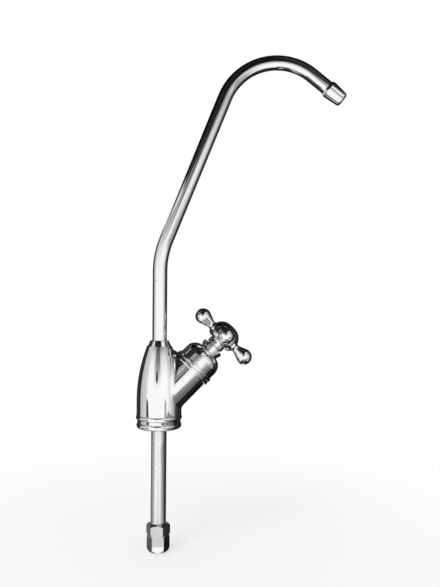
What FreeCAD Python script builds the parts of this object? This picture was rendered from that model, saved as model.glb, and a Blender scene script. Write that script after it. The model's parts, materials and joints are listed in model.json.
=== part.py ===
import FreeCAD, Part
import os
from math import asin, atan, cos, pi, radians, sin, sqrt, tan
from FreeCAD import Placement, Rotation, Vector

# A swivelling drinking-water tap. The counter is the plane z = 0. The Z axis is the axis of the
# shank, the body and the spout's swivel. The valve branch leans from the Z axis towards +X.

# Running, sliding and assembly gaps
running_gap = 0.06
swivel_gap = 0.10
thread_gap = 0.05
seal_gap = 0.05
end_play = 0.05
braze_gap = 0.03

# Body casting
body_radius = 16.0
body_height = 58.4
body_taper_from = 20.0
shoulder_radius = 8.9
bead_radius = 16.4
bead_low = 6.2
bead_high = 9.6
bead_low_round = 0.85
bead_high_round = 0.35
body_neck_radius = 15.5
body_foot_round = 0.3
underside_radius = 12.6
underside_depth = 7.5
shank_boss_radius = 8.8

# Foot ring and its seal
foot_radius = 16.0
foot_height = 4.1
foot_low_round = 1.6
foot_high_round = 0.8
foot_bore_gap = 0.25
foot_seal_inner = 10.8
foot_seal_width = 2.6
foot_seal_height = 1.6

# Threaded shank, 7/16 in, with a 6 mm waterway
shank_radius = 5.55
shank_below_counter = 82.0
shank_engagement = 10.9
shank_end_chamfer = 0.5
waterway_radius = 3.0
shank_seal_height = 1.0
shank_mouth_radius = 4.4
shank_mouth_depth = 2.0

# Nuts on the shank
mounting_nut_flats = 15.0
mounting_nut_height = 8.5
mounting_nut_turn = -13.0
compression_nut_flats = 14.3
compression_nut_height = 12.3
compression_nut_turn = -6.5
compression_nut_below_shank = 6.1
nut_chamfer_lean = 38.0
nut_face_inset = 1.4
nut_end_round = 3.8
nut_spacing = 0.05
supply_tube_radius = 3.175
supply_tube_gap = 0.075
ferrule_gap = 0.075
ferrule_wall = 0.3
ferrule_nose_depth = 1.1
ferrule_radius = 4.9
ferrule_band = 1.0
ferrule_cone = 2.0

# Valve branch, measured along its own axis from the Z axis
branch_lean = 45.0
branch_height = 18.5
branch_radius = 14.0
branch_length = 34.2
branch_bead_radius = 15.3
branch_bead_width = 2.7
branch_bead_round = 0.8
branch_blend = 3.0
valve_seat = 12.0
chamber_radius = 8.6
chamber_length = 13.0
cartridge_thread_radius = 9.0
port_wall = 2.0
outlet_bore_radius = 5.0

# Cartridge
flow_space = 1.2
disc_radius = 6.5
disc_gap = 0.1
disc_thickness = 3.0
disc_play = 0.02
port_radius = 1.7
port_offset = 3.9
lug_width = 2.4
lug_height = 0.7
seat_seal_thickness = 2.2
seat_seal_inner = 4.4
sleeve_lift = 0.4
housing_hex_flats = 21.0
housing_hex_height = 4.6
housing_neck_radius = 5.6
window_width = 5.0
spindle_radius = 4.0
tongue_width = 3.4
tongue_height = 3.0
tongue_depth = 1.0
spindle_collar_radius = 6.2
spindle_collar_thickness = 1.2
thrust_washer_thickness = 0.45
housing_oring_section = 1.5
housing_oring_set_in = 0.6
spindle_oring_section = 1.0
spindle_oring_first = 4.6
spindle_oring_pitch = 3.4
oring_side_gap = 0.1
clip_thickness = 0.7
clip_width = 2.2
clip_groove_depth = 0.8
clip_mouth = 5.0

# Bonnet and its nut
bonnet_radius = 14.3
bonnet_taper = 0.1
bonnet_top = 50.4
bonnet_crown_round = 8.3
bonnet_wall = 1.6
bonnet_bead_width = 2.8
bonnet_hole_gap = 0.1
bonnet_nut_radius = 8.3
bonnet_nut_neck_radius = 7.6
bonnet_nut_neck = 1.5
bonnet_nut_height = 4.5
bonnet_nut_round = 0.5
bonnet_nut_roof = 1.7
bonnet_nut_boss_radius = 5.4
bonnet_nut_boss = 0.6
nut_to_spindle_gap = 0.3
housing_thread_grip = 0.8

# Cross handle
handle_gap = 0.4
skirt_radius = 6.5
skirt_length = 3.4
skirt_round = 0.7
hub_radius = 11.4
hub_height = 15.9
hub_crown_round = 9.2
hub_low_round = 4.2
hub_floor_drop = 1.2
arm_lift = 6.3
arm_neck_radius = 2.9
arm_neck_at = 12.4
arm_root_radius = 3.6
arm_bulb_radius = 5.85
arm_bulb_at = 20.75
arm_root_blend = 1.6
drive_flats = 5.9
drive_gap = 0.05
drive_length = 9.0
drive_recess = 2.2
drive_recess_radius = 5.0
screw_radius = 1.95
screw_head_radius = 3.5
screw_head_height = 2.4
screw_web = 1.5
screw_slot_width = 0.9
screw_slot_depth = 1.2
screw_length = 8.0
screw_head_gap = 0.4
screw_tip_gap = 1.0
cap_radius = 4.4
cap_thickness = 2.6
cap_gap = 0.05

# Spout tube, tip and swivel
spout_rest_turn = -10.0
tube_radius = 5.2
tube_wall = 1.0
spout_bend_height = 123.5
spout_bend_radius = 60.0
spout_lean = 22.0
spout_run = 121.4
arch_radius = 40.0
outlet_dip = 39.0
spout_end_run = 19.8
spigot_radius = 6.2
spigot_bore = 3.6
spigot_lift = 0.4
flange_radius = 7.6
flange_thickness = 2.2
slip_washer_thickness = 0.8
spout_oring_section = 1.5
spout_oring_least_pitch = 2.8
tip_radius = 6.4
tip_length = 14.4
tip_over_tube = 6.0
tip_mouth_lip = 0.35
tip_end_radius = 5.1
tip_shoulder_round = 2.0
tip_end_round = 2.0
tip_bore = 3.25
straightener_length = 5.5
straightener_set_back = 1.5
straightener_rib = 0.7
straightener_ribs = 6
straightener_wall = 0.7
straightener_gap = 0.03

# Collar that holds the spout in the body
collar_radius = 8.35
collar_height = 4.1
collar_top_radius = 6.4
collar_round = 0.6
collar_thread_radius = 7.9
collar_thread_length = 6.6

# Share of a corner's full round that leaves a short straight for the next corner
nearly_full = 0.999

# Turn that keeps the seam of a turned piece away from where another piece meets it
seam_turn = 45.0

Z = Vector(0, 0, 1)
Y = Vector(0, 1, 0)
ORIGIN = Vector(0, 0, 0)


def corner_arc(before, corner, after, radius):
    """Tangent points and middle point of the arc that rounds one corner of a profile."""
    to_before = (before - corner).normalize()
    to_after = (after - corner).normalize()
    half = to_before.getAngle(to_after) / 2
    inward = (to_before + to_after).normalize()
    reach = radius / tan(half)
    centre = corner + inward * (radius / sin(half))
    return corner + to_before * reach, centre - inward * radius, corner + to_after * reach


def profile(corners):
    """Closed wire in the XZ plane from (r, z) or (r, z, rounding radius) corners."""
    points = [Vector(c[0], 0, c[1]) for c in corners]
    rounds = [c[2] if len(c) > 2 else 0 for c in corners]
    count = len(points)
    edges = []
    starts = []
    ends = []
    arcs = []
    for i in range(count):
        if rounds[i] > 0:
            first, middle, last = corner_arc(points[i - 1], points[i], points[(i + 1) % count], rounds[i])
            arcs.append(Part.Arc(first, middle, last).toShape())
        else:
            first = last = points[i]
            arcs.append(None)
        starts.append(first)
        ends.append(last)
    for i in range(count):
        if arcs[i]:
            edges.append(arcs[i])
        following = starts[(i + 1) % count]
        if ends[i].distanceToPoint(following) > 1e-6:
            edges.append(Part.LineSegment(ends[i], following).toShape())
    return Part.Wire(edges)


def turned(corners):
    """Solid turned about the Z axis from a profile."""
    return Part.Face(profile(corners)).revolve(ORIGIN, Z, 360)


def rod(radius, low, high):
    return Part.makeCylinder(radius, high - low, Vector(0, 0, low))


def ring(outer, inner, low, high):
    return rod(outer, low, high).cut(rod(inner, low, high))


def oring(section, inner, middle):
    """Round-section ring about Z whose inside touches the given radius."""
    return Part.makeTorus(inner + section / 2, section / 2, Vector(0, 0, middle))


def hexagon(flats, low, high, turn=0.0):
    """Hexagonal prism about Z with one flat facing -Y before it is turned."""
    corner = flats / sqrt(3)
    points = [Vector(corner * cos(pi * k / 3), corner * sin(pi * k / 3), low) for k in range(6)]
    prism = Part.Face(Part.makePolygon(points + points[:1])).extrude(Vector(0, 0, high - low))
    prism.rotate(ORIGIN, Z, turn)
    return prism


def block(size_x, size_y, low, high):
    return Part.makeBox(size_x, size_y, high - low, Vector(-size_x / 2, -size_y / 2, low))


def on_branch(shape):
    """Carry a shape built about Z on to the valve branch's axis."""
    placed = shape.copy()
    placed.Placement = Placement(Vector(0, 0, branch_height), Rotation(Y, branch_lean))
    return placed


def on_spout(shape):
    """Turn a shape of the spout to the way the spout points at rest."""
    placed = shape.copy()
    placed.rotate(ORIGIN, Z, spout_rest_turn)
    return placed


def lies_on(edge, solid):
    """True where the whole edge lies on the solid's surface."""
    shell = solid.Shells[0]
    return all(Part.Vertex(p).distToShape(shell)[0] < 0.01 for p in edge.discretize(5))


def save(name, shape):
    solid = shape.removeSplitter() if len(shape.Solids) == 1 else shape
    solid.exportStep("parts/" + name + ".step")


# Heights and places that follow from the driving sizes

lean = radians(branch_lean)
collar_foot = body_height - collar_thread_length
flange_top = collar_foot - slip_washer_thickness - end_play
flange_low = flange_top - flange_thickness
swivel_shoulder = flange_low - end_play - slip_washer_thickness
swivel_bore = spigot_radius + running_gap
swivel_floor = branch_height + swivel_bore / tan(lean) + chamber_radius / sin(lean) + port_wall
outlet_floor = branch_height + valve_seat
spigot_foot = swivel_floor + spigot_lift
tube_foot = swivel_shoulder
counterbore = collar_thread_radius + thread_gap
shank_top = foot_height + shank_engagement
socket_top = shank_top + shank_seal_height
shank_foot = -shank_below_counter
compression_nut_low = shank_foot - compression_nut_below_shank
compression_nut_top = compression_nut_low + compression_nut_height
mounting_nut_low = compression_nut_top + nut_spacing
mounting_nut_top = mounting_nut_low + mounting_nut_height
nut_bore = shank_radius + thread_gap
ferrule_nose = shank_foot + ferrule_nose_depth
ferrule_widest = shank_foot - ferrule_band
supply_bore = supply_tube_radius + supply_tube_gap

chamber_top = valve_seat + chamber_length
cartridge_bore = cartridge_thread_radius + thread_gap
fixed_disc_low = valve_seat + seat_seal_thickness
moving_disc_low = fixed_disc_low + disc_thickness + disc_play
moving_disc_top = moving_disc_low + disc_thickness
collar_low = moving_disc_top + tongue_height
collar_top = collar_low + spindle_collar_thickness
housing_ceiling = collar_top + thrust_washer_thickness + 2 * end_play
sleeve_inner = disc_radius + disc_gap
sleeve_outer = chamber_radius - flow_space
hex_top = branch_length + housing_hex_height
neck_top = bonnet_top + housing_thread_grip
spindle_bore = spindle_radius + running_gap
clip_low = neck_top + 2 * end_play
clip_top = clip_low + clip_thickness
clip_groove = spindle_radius - clip_groove_depth
bonnet_nut_top = bonnet_top + bonnet_nut_height
boss_top = bonnet_nut_top + bonnet_nut_boss
skirt_low = boss_top + handle_gap
hub_low = skirt_low + skirt_length
hub_top = hub_low + hub_height
arm_axis = hub_low + arm_lift
drive_low = skirt_low + drive_recess
drive_top = drive_low + drive_length
web_top = drive_top + screw_web
cap_seat = hub_top - cap_thickness


def make_valve_body():
    """Bullet-shaped casting with the leaning branch, and the waterways through it."""
    drop = body_radius - shoulder_radius
    rise = body_height - body_taper_from
    side_round = (rise * rise + drop * drop) / (2 * drop)
    side_turn = asin(rise / side_round)
    side_corner = body_taper_from + side_round * tan(side_turn / 2)
    bullet = turned([
        (0, foot_height),
        (body_neck_radius, foot_height, body_foot_round),
        (body_neck_radius, bead_low),
        (bead_radius, bead_low, bead_low_round),
        (bead_radius, bead_high, bead_high_round),
        (body_radius, bead_high),
        (body_radius, side_corner, side_round * nearly_full),
        (shoulder_radius, body_height),
        (0, body_height),
    ])
    bullet.rotate(ORIGIN, Z, 180 - seam_turn)
    reach = branch_length + 4 * branch_blend
    arm = on_branch(rod(branch_radius, 0, reach))
    rough = bullet.fuse(arm)
    seam = [e for e in rough.Edges if lies_on(e, bullet) and lies_on(e, arm)]
    casting = rough.makeFillet(branch_blend, seam)
    casting = casting.cut(on_branch(rod(branch_radius + 2 * branch_blend, branch_length, reach + 1)))
    bead_from = branch_length - branch_bead_width
    casting = casting.fuse(on_branch(turned([
        (0, bead_from),
        (branch_bead_radius, bead_from, branch_bead_round),
        (branch_bead_radius, branch_length, branch_bead_round),
        (0, branch_length),
    ])))
    hollow = ring(underside_radius, shank_boss_radius, foot_height, foot_height + underside_depth)
    socket = rod(shank_radius + thread_gap, foot_height, socket_top)
    inlet = rod(waterway_radius, socket_top, branch_height)
    inlet = inlet.fuse(Part.makeSphere(waterway_radius, Vector(0, 0, branch_height)))
    inlet = inlet.fuse(on_branch(rod(waterway_radius, 0, valve_seat)))
    chamber = on_branch(rod(chamber_radius, valve_seat, chamber_top))
    thread = on_branch(rod(cartridge_bore, chamber_top, branch_length))
    outlet = rod(outlet_bore_radius, outlet_floor, swivel_floor)
    swivel = rod(swivel_bore, swivel_floor, swivel_shoulder)
    mouth = rod(counterbore, swivel_shoulder, body_height)
    for cavity in (hollow, socket, inlet, chamber, thread, outlet, swivel, mouth):
        casting = casting.cut(cavity)
    return casting


def make_base_ring():
    plate = turned([
        (shank_radius + foot_bore_gap, 0),
        (foot_radius, 0, foot_low_round),
        (foot_radius, foot_height, foot_high_round),
        (shank_radius + foot_bore_gap, foot_height),
    ])
    return plate.cut(ring(foot_seal_inner + foot_seal_width, foot_seal_inner, 0, foot_seal_height))


def make_base_seal():
    return ring(foot_seal_inner + foot_seal_width, foot_seal_inner, 0, foot_seal_height)


def make_threaded_shank():
    return turned([
        (waterway_radius, shank_foot + shank_mouth_depth),
        (shank_mouth_radius, shank_foot),
        (shank_radius - shank_end_chamfer, shank_foot),
        (shank_radius, shank_foot + shank_end_chamfer),
        (shank_radius, shank_top - shank_end_chamfer),
        (shank_radius - shank_end_chamfer, shank_top),
        (waterway_radius, shank_top),
    ])


def make_shank_seal():
    return ring(shank_radius, waterway_radius, shank_top, socket_top)


def chamfer_fall(flats, face_radius):
    """Height over which a hexagon's corners are turned down to a round end face."""
    return (flats / sqrt(3) - face_radius) * tan(radians(nut_chamfer_lean))


def make_mounting_nut():
    """Hexagon nut with its corners turned off at both ends."""
    corner = mounting_nut_flats / sqrt(3)
    low_face = mounting_nut_flats / 2
    high_face = low_face - nut_face_inset
    blank = turned([
        (nut_bore, mounting_nut_low),
        (low_face, mounting_nut_low),
        (corner, mounting_nut_low + chamfer_fall(mounting_nut_flats, low_face)),
        (corner, mounting_nut_top - chamfer_fall(mounting_nut_flats, high_face)),
        (high_face, mounting_nut_top),
        (nut_bore, mounting_nut_top),
    ])
    return blank.common(hexagon(mounting_nut_flats, mounting_nut_low, mounting_nut_top, mounting_nut_turn))


def make_compression_nut():
    """Hexagon nut that squeezes the ferrule against the mouth of the shank."""
    corner = compression_nut_flats / sqrt(3)
    face = compression_nut_flats / 2
    cone_top = ferrule_widest - ferrule_band
    cone_foot = cone_top - ferrule_cone - ferrule_gap
    blank = turned([
        (supply_bore, compression_nut_low),
        (corner, compression_nut_low, nut_end_round),
        (corner, compression_nut_top - chamfer_fall(compression_nut_flats, face)),
        (face, compression_nut_top),
        (nut_bore, compression_nut_top),
        (nut_bore, cone_top),
        (supply_bore + ferrule_wall, cone_foot),
        (supply_bore, cone_foot),
    ])
    prism = hexagon(compression_nut_flats, compression_nut_low, compression_nut_top, compression_nut_turn)
    return blank.common(prism)


def make_ferrule():
    return turned([
        (supply_bore, ferrule_nose),
        (supply_bore + ferrule_wall, ferrule_nose),
        (ferrule_radius, ferrule_widest),
        (ferrule_radius, ferrule_widest - ferrule_band),
        (supply_bore + ferrule_wall, ferrule_widest - ferrule_band - ferrule_cone),
        (supply_bore, ferrule_widest - ferrule_band - ferrule_cone),
    ])


def make_spout_collar():
    """Screwed collar: a cone above the body and a thread that goes down into it."""
    bore = tube_radius + swivel_gap
    return turned([
        (bore, collar_foot),
        (collar_thread_radius, collar_foot),
        (collar_thread_radius, body_height),
        (collar_radius, body_height),
        (collar_top_radius, body_height + collar_height, collar_round),
        (bore, body_height + collar_height),
    ])


def make_upper_slip_washer():
    return ring(collar_thread_radius, tube_radius + swivel_gap, collar_foot - slip_washer_thickness, collar_foot)


def make_lower_slip_washer():
    low = swivel_shoulder
    return ring(collar_thread_radius, spigot_radius + swivel_gap, low, low + slip_washer_thickness)


def lugs(outer, low, high, gap=0.0):
    """Two lugs across a disc that stop it turning in its sleeve."""
    return block(2 * outer, lug_width + 2 * gap, low, high)


def make_cartridge_housing():
    """Sleeve round the discs, threaded waist, hexagon and neck, bored for the spindle."""
    oring_low = chamber_top + housing_oring_set_in
    oring_high = oring_low + housing_oring_section + 2 * oring_side_gap
    oring_floor = cartridge_bore - seal_gap - housing_oring_section
    sleeve_low = valve_seat + sleeve_lift
    body = turned([
        (sleeve_inner, sleeve_low),
        (sleeve_outer, sleeve_low),
        (sleeve_outer, chamber_top),
        (cartridge_thread_radius, chamber_top),
        (cartridge_thread_radius, oring_low),
        (oring_floor, oring_low),
        (oring_floor, oring_high),
        (cartridge_thread_radius, oring_high),
        (cartridge_thread_radius, branch_length),
        (housing_hex_flats / sqrt(3), branch_length),
        (housing_hex_flats / sqrt(3), hex_top),
        (housing_neck_radius, hex_top),
        (housing_neck_radius, neck_top),
        (spindle_bore, neck_top),
        (spindle_bore, housing_ceiling),
        (sleeve_inner, housing_ceiling),
    ])
    waist = rod(cartridge_thread_radius + 1, sleeve_low, branch_length)
    head = hexagon(housing_hex_flats, branch_length, neck_top)
    body = body.common(waist.fuse(head))
    windows = block(window_width, 2 * sleeve_outer + 2, moving_disc_top, collar_low)
    notches = lugs(sleeve_outer, sleeve_low, fixed_disc_low + disc_thickness, disc_gap)
    return on_branch(body.cut(windows).cut(notches.cut(rod(sleeve_inner, sleeve_low, chamber_top))))


def make_cartridge_seat_seal():
    return on_branch(ring(disc_radius, seat_seal_inner, valve_seat, fixed_disc_low))


def make_cartridge_oring():
    middle = chamber_top + housing_oring_set_in + oring_side_gap + housing_oring_section / 2
    inner = cartridge_bore - seal_gap - housing_oring_section
    return on_branch(oring(housing_oring_section, inner, middle))


def make_fixed_disc():
    low = fixed_disc_low
    high = fixed_disc_low + disc_thickness
    disc = rod(disc_radius, low, high).fuse(lugs(disc_radius + lug_height, low, high))
    for side in (-1, 1):
        hole = rod(port_radius, low, high)
        hole.translate(Vector(side * port_offset, 0, 0))
        disc = disc.cut(hole)
    return on_branch(disc)


def make_moving_disc():
    """Upper disc: its ports stand square to the lower ones while the tap is shut."""
    disc = rod(disc_radius, moving_disc_low, moving_disc_top)
    for side in (-1, 1):
        hole = rod(port_radius, moving_disc_low, moving_disc_top)
        hole.translate(Vector(0, side * port_offset, 0))
        disc = disc.cut(hole)
    slot = block(2 * disc_radius + 1, tongue_width + 2 * disc_gap, moving_disc_top - tongue_depth, moving_disc_top)
    return on_branch(disc.cut(slot))


def spindle_oring_places():
    first = housing_ceiling + spindle_oring_first
    return [first, first + spindle_oring_pitch]


def make_spindle():
    """Stem with the tongue that turns the upper disc, two seal grooves and a square end."""
    tongue_low = moving_disc_top - tongue_depth + disc_play
    tongue = block(2 * spindle_collar_radius, tongue_width, tongue_low, collar_low)
    tongue = tongue.common(rod(spindle_collar_radius, tongue_low, collar_low))
    stem = rod(spindle_collar_radius, collar_low, collar_top).fuse(tongue)
    stem = stem.fuse(rod(spindle_radius, collar_top, skirt_low))
    stem = stem.fuse(block(drive_flats, drive_flats, skirt_low, drive_top))
    groove_floor = spindle_radius - spindle_oring_section
    half = spindle_oring_section / 2 + oring_side_gap
    for place in spindle_oring_places():
        stem = stem.cut(ring(spindle_radius + 1, groove_floor, place - half, place + half))
    stem = stem.cut(ring(spindle_radius + 1, clip_groove, clip_low, clip_top))
    return on_branch(stem.cut(rod(screw_radius + thread_gap, drive_top - screw_length, drive_top)))


def make_spindle_orings():
    floor = spindle_radius - spindle_oring_section
    return Part.makeCompound([
        on_branch(oring(spindle_oring_section, floor, place)) for place in spindle_oring_places()
    ])


def make_thrust_washer():
    low = collar_top + end_play
    return on_branch(ring(spindle_collar_radius, spindle_bore, low, low + thrust_washer_thickness))


def make_spindle_clip():
    clip = ring(clip_groove + clip_width, clip_groove, clip_low, clip_top)
    mouth = Part.makeBox(
        clip_groove + clip_width + 1, clip_mouth, clip_thickness, Vector(0, -clip_mouth / 2, clip_low)
    )
    return on_branch(clip.cut(mouth))


def make_bonnet_cover():
    """Domed shell that hides the cartridge, with a bead at its foot and a hole at its top."""
    hole = housing_neck_radius + bonnet_hole_gap
    inner = bonnet_radius - bonnet_wall
    bead_top = branch_length + bonnet_bead_width
    ceiling = bonnet_top - bonnet_wall
    return on_branch(turned([
        (inner, branch_length),
        (branch_bead_radius, branch_length, branch_bead_round),
        (branch_bead_radius, bead_top, branch_bead_round),
        (bonnet_radius, bead_top),
        (bonnet_radius - bonnet_taper, bonnet_top, bonnet_crown_round),
        (hole, bonnet_top),
        (hole, ceiling),
        (inner - bonnet_taper, ceiling, bonnet_crown_round - bonnet_wall),
    ]))


def make_bonnet_nut():
    neck_end = bonnet_top + bonnet_nut_neck
    thread = housing_neck_radius + thread_gap
    roof = bonnet_nut_top - bonnet_nut_roof
    hole = spindle_radius + nut_to_spindle_gap
    return on_branch(turned([
        (thread, bonnet_top),
        (bonnet_nut_neck_radius, bonnet_top),
        (bonnet_nut_neck_radius, neck_end),
        (bonnet_nut_radius, neck_end, bonnet_nut_round),
        (bonnet_nut_radius, bonnet_nut_top, bonnet_nut_round),
        (bonnet_nut_boss_radius, bonnet_nut_top),
        (bonnet_nut_boss_radius, boss_top),
        (hole, boss_top),
        (hole, roof),
        (thread, roof),
    ]))


def hub_blank():
    """Solid hub and skirt of the handle, about Z, with its seam half way between two arms."""
    blank = turned([
        (0, skirt_low),
        (skirt_radius, skirt_low, skirt_round),
        (skirt_radius, hub_low),
        (hub_radius, hub_low + hub_floor_drop, hub_low_round),
        (hub_radius, hub_top, hub_crown_round),
        (0, hub_top),
    ])
    blank.rotate(ORIGIN, Z, seam_turn)
    return blank


def arm_blank():
    """One arm about Z: a waist at the hub and a ball at the end, joined by a cone."""
    span = arm_bulb_at - arm_neck_at
    flare = asin(arm_bulb_radius / sqrt(arm_neck_radius ** 2 + span ** 2)) - atan(arm_neck_radius / span)
    tip = arm_bulb_at + arm_bulb_radius
    wide = arm_neck_radius + (tip - arm_neck_at) * tan(flare)
    return turned([
        (0, 0),
        (arm_root_radius, 0),
        (arm_neck_radius, arm_neck_at, arm_neck_at / 2),
        (wide, tip, arm_bulb_radius * nearly_full),
        (0, tip),
    ])


def make_cross_handle():
    hub = hub_blank()
    handle = hub
    arms = []
    for k in range(4):
        arm = arm_blank()
        arm.rotate(ORIGIN, Z, seam_turn)
        arm.rotate(ORIGIN, Y, 90)
        arm.rotate(ORIGIN, Z, 90 * k)
        arm.translate(Vector(0, 0, arm_axis))
        arms.append(arm)
        handle = handle.fuse(arm)
    roots = [e for e in handle.Edges if lies_on(e, hub) and any(lies_on(e, arm) for arm in arms)]
    handle = handle.makeFillet(arm_root_blend, roots)
    socket = drive_flats + 2 * drive_gap
    handle = handle.cut(rod(drive_recess_radius, skirt_low, drive_low))
    handle = handle.cut(block(socket, socket, drive_low, drive_top))
    handle = handle.cut(rod(screw_radius + screw_head_gap, drive_top, web_top))
    handle = handle.cut(rod(screw_head_radius + screw_head_gap, web_top, cap_seat))
    handle = handle.cut(rod(cap_radius, cap_seat, hub_top + 1))
    return on_branch(handle)


def make_handle_screw():
    shank = rod(screw_radius, drive_top - screw_length + screw_tip_gap, web_top)
    head = turned([
        (0, web_top),
        (screw_head_radius, web_top),
        (screw_head_radius, web_top + screw_head_height, screw_head_height / 3),
        (0, web_top + screw_head_height),
    ])
    slot = block(
        2 * screw_head_radius + 1, screw_slot_width,
        web_top + screw_head_height - screw_slot_depth, web_top + screw_head_height + 1,
    )
    return on_branch(shank.fuse(head).cut(slot))


def make_handle_cap():
    """Button with the same crown as the hub round it."""
    return on_branch(hub_blank().common(rod(cap_radius - cap_gap, cap_seat, hub_top + 1)))


def spout_points():
    """Corners of the spout's path in the XZ plane, from the spigot to the end of the tube."""
    up = radians(spout_lean)
    dip = radians(outlet_dip)
    turn = pi / 2 - up + dip
    reach = arch_radius * tan(turn / 2)
    bend = Vector(0, 0, spout_bend_height)
    arch = bend + Vector(sin(up), 0, cos(up)) * (spout_run + reach)
    end = arch + Vector(cos(dip), 0, -sin(dip)) * (reach + spout_end_run)
    return [Vector(0, 0, tube_foot), bend, arch, end]


def spout_path():
    """Straight runs joined by tangent arcs."""
    foot, bend, arch, end = spout_points()
    first = corner_arc(foot, bend, arch, spout_bend_radius)
    second = corner_arc(bend, arch, end, arch_radius)
    return Part.Wire([
        Part.LineSegment(foot, first[0]).toShape(),
        Part.Arc(*first).toShape(),
        Part.LineSegment(first[2], second[0]).toShape(),
        Part.Arc(*second).toShape(),
        Part.LineSegment(second[2], end).toShape(),
    ])


def swept_round(radius, path, start):
    section = Part.Wire(Part.makeCircle(radius, start, Z))
    return path.makePipeShell([section], True, False)


def make_spout_tube():
    path = spout_path()
    start = spout_points()[0]
    outer = swept_round(tube_radius, path, start)
    inner = swept_round(tube_radius - tube_wall, path, start)
    return on_spout(outer.cut(inner))


def at_outlet(shape):
    """Carry a shape built about Z, with the tube's end at z = 0, on to the end of the spout."""
    placed = shape.copy()
    placed.Placement = Placement(spout_points()[3], Rotation(Y, 90 + outlet_dip))
    return on_spout(placed)


def make_spout_tip():
    """Sleeve pushed over the end of the tube, with a shoulder inside it."""
    socket = tube_radius + braze_gap
    start = -tip_over_tube
    end = tip_length - tip_over_tube
    return at_outlet(turned([
        (socket, start),
        (tube_radius + tip_mouth_lip, start),
        (tip_radius, start + tip_shoulder_round, tip_shoulder_round),
        (tip_end_radius, end, tip_end_round),
        (tip_bore, end),
        (tip_bore, 0),
        (socket, 0),
    ]))


def make_flow_straightener():
    """Thin ring with ribs that meet at its middle."""
    high = tip_length - tip_over_tube - straightener_set_back
    low = high - straightener_length
    outer = tip_bore - straightener_gap
    star = ring(outer, outer - straightener_wall, low, high)
    for k in range(straightener_ribs // 2):
        rib = block(2 * outer - straightener_wall, straightener_rib, low, high)
        rib.rotate(ORIGIN, Z, 360 * k / straightener_ribs)
        star = star.fuse(rib)
    return at_outlet(star)


def spout_oring_places():
    """Middles of the O-rings, spread evenly between the spigot's foot and the shoulder of its bore."""
    room = swivel_shoulder - spigot_foot
    count = max(1, int(room / spout_oring_least_pitch) - 1)
    return [swivel_shoulder - room * (k + 1) / (count + 1) for k in range(count)]


def make_spout_spigot():
    """Brass foot of the spout: a socket for the tube, a flange, and grooves for two O-rings."""
    spigot = rod(spigot_radius, spigot_foot, flange_top)
    spigot = spigot.fuse(rod(flange_radius, flange_low, flange_top))
    spigot = spigot.cut(rod(tube_radius + braze_gap, tube_foot, flange_top))
    spigot = spigot.cut(rod(spigot_bore, spigot_foot, tube_foot))
    floor = swivel_bore - seal_gap - spout_oring_section
    half = spout_oring_section / 2 + oring_side_gap
    for place in spout_oring_places():
        spigot = spigot.cut(ring(spigot_radius + 1, floor, place - half, place + half))
    return on_spout(spigot)


def make_spout_orings():
    floor = swivel_bore - seal_gap - spout_oring_section
    return Part.makeCompound([on_spout(oring(spout_oring_section, floor, place)) for place in spout_oring_places()])


makers = {
    "valve_body": make_valve_body,
    "base_ring": make_base_ring,
    "base_seal": make_base_seal,
    "threaded_shank": make_threaded_shank,
    "shank_seal": make_shank_seal,
    "mounting_nut": make_mounting_nut,
    "compression_nut": make_compression_nut,
    "ferrule": make_ferrule,
    "spout_collar": make_spout_collar,
    "upper_slip_washer": make_upper_slip_washer,
    "lower_slip_washer": make_lower_slip_washer,
    "cartridge_housing": make_cartridge_housing,
    "cartridge_seat_seal": make_cartridge_seat_seal,
    "cartridge_oring": make_cartridge_oring,
    "fixed_disc": make_fixed_disc,
    "moving_disc": make_moving_disc,
    "spindle": make_spindle,
    "spindle_orings": make_spindle_orings,
    "thrust_washer": make_thrust_washer,
    "spindle_clip": make_spindle_clip,
    "bonnet_cover": make_bonnet_cover,
    "bonnet_nut": make_bonnet_nut,
    "cross_handle": make_cross_handle,
    "handle_screw": make_handle_screw,
    "handle_cap": make_handle_cap,
    "spout_tube": make_spout_tube,
    "spout_spigot": make_spout_spigot,
    "spout_orings": make_spout_orings,
    "spout_tip": make_spout_tip,
    "flow_straightener": make_flow_straightener,
}

os.makedirs("parts", exist_ok=True)
for name, make in makers.items():
    shape = make()
    save(name, shape)
    print("%-22s solids %d valid %s volume %.1f" % (name, len(shape.Solids), shape.isValid(), shape.Volume))
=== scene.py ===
import json
from math import asin, atan, ceil, cos, degrees, hypot, pi, radians, sin, sqrt, tan

import bmesh
import bpy
import numpy as np
from mathutils import Matrix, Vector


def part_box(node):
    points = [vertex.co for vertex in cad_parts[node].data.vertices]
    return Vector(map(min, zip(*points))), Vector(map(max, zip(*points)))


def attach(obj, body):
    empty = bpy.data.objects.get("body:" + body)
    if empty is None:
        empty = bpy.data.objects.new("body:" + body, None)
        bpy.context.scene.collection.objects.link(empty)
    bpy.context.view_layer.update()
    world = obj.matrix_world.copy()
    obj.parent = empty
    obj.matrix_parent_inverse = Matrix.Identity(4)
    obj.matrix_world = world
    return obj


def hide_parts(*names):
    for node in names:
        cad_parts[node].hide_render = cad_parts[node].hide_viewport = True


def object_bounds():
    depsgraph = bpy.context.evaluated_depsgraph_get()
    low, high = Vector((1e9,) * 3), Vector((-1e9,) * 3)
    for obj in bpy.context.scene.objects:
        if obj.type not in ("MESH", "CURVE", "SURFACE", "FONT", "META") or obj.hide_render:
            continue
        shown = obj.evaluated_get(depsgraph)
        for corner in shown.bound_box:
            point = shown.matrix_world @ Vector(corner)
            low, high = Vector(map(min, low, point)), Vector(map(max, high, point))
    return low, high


# The dressed model of a swivelling drinking-water tap. Shapes are worked out in millimetres, in the
# CAD frame: the counter is z = 0 and the Z axis is the axis of the shank, the body and the swivel.

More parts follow.
